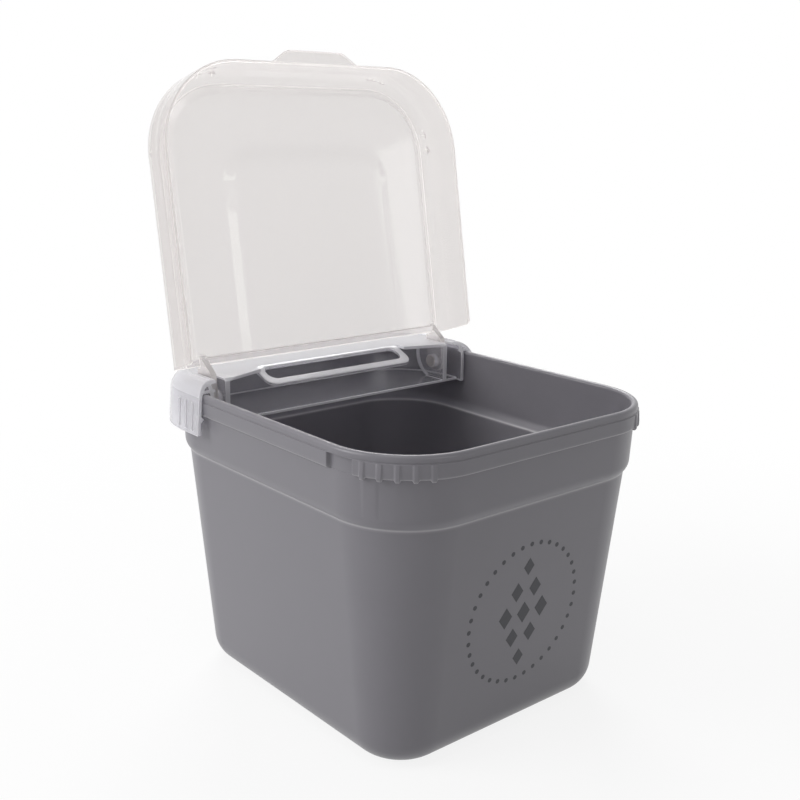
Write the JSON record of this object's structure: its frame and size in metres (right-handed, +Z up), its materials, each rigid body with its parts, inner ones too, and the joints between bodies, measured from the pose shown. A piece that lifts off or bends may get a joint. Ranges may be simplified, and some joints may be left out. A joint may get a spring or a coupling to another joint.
{
  "type": "salt box",
  "caption": "Square kitchen salt box: a grey tapered tub with a banded rim, a clear rear bridge and a clear flip lid on a pin hinge.",
  "frame": {"origin": "middle of the tub's flat base", "axes": "+Z up, +Y from the front wall to the hinge, +X to the right seen from the front"},
  "size_m": [0.1354, 0.1488, 0.231],
  "materials": {
    "grey_polypropylene": "satin moulded",
    "natural_polypropylene_bridge": "clear, slightly milky",
    "natural_polypropylene_lid": "clear, slightly milky"
  },
  "bodies": {
    "box": {"tub": "grey_polypropylene", "hinge_bridge": "natural_polypropylene_bridge"},
    "lid": {"flip_lid": "natural_polypropylene_lid"}
  },
  "joints": [
    {"name": "lid_hinge", "type": "hinge", "parent": "box", "child": "lid", "pos_m": [0, 0.043, 0.1075], "axis": [1, 0, 0], "range_deg": [0, 100]}
  ]
}
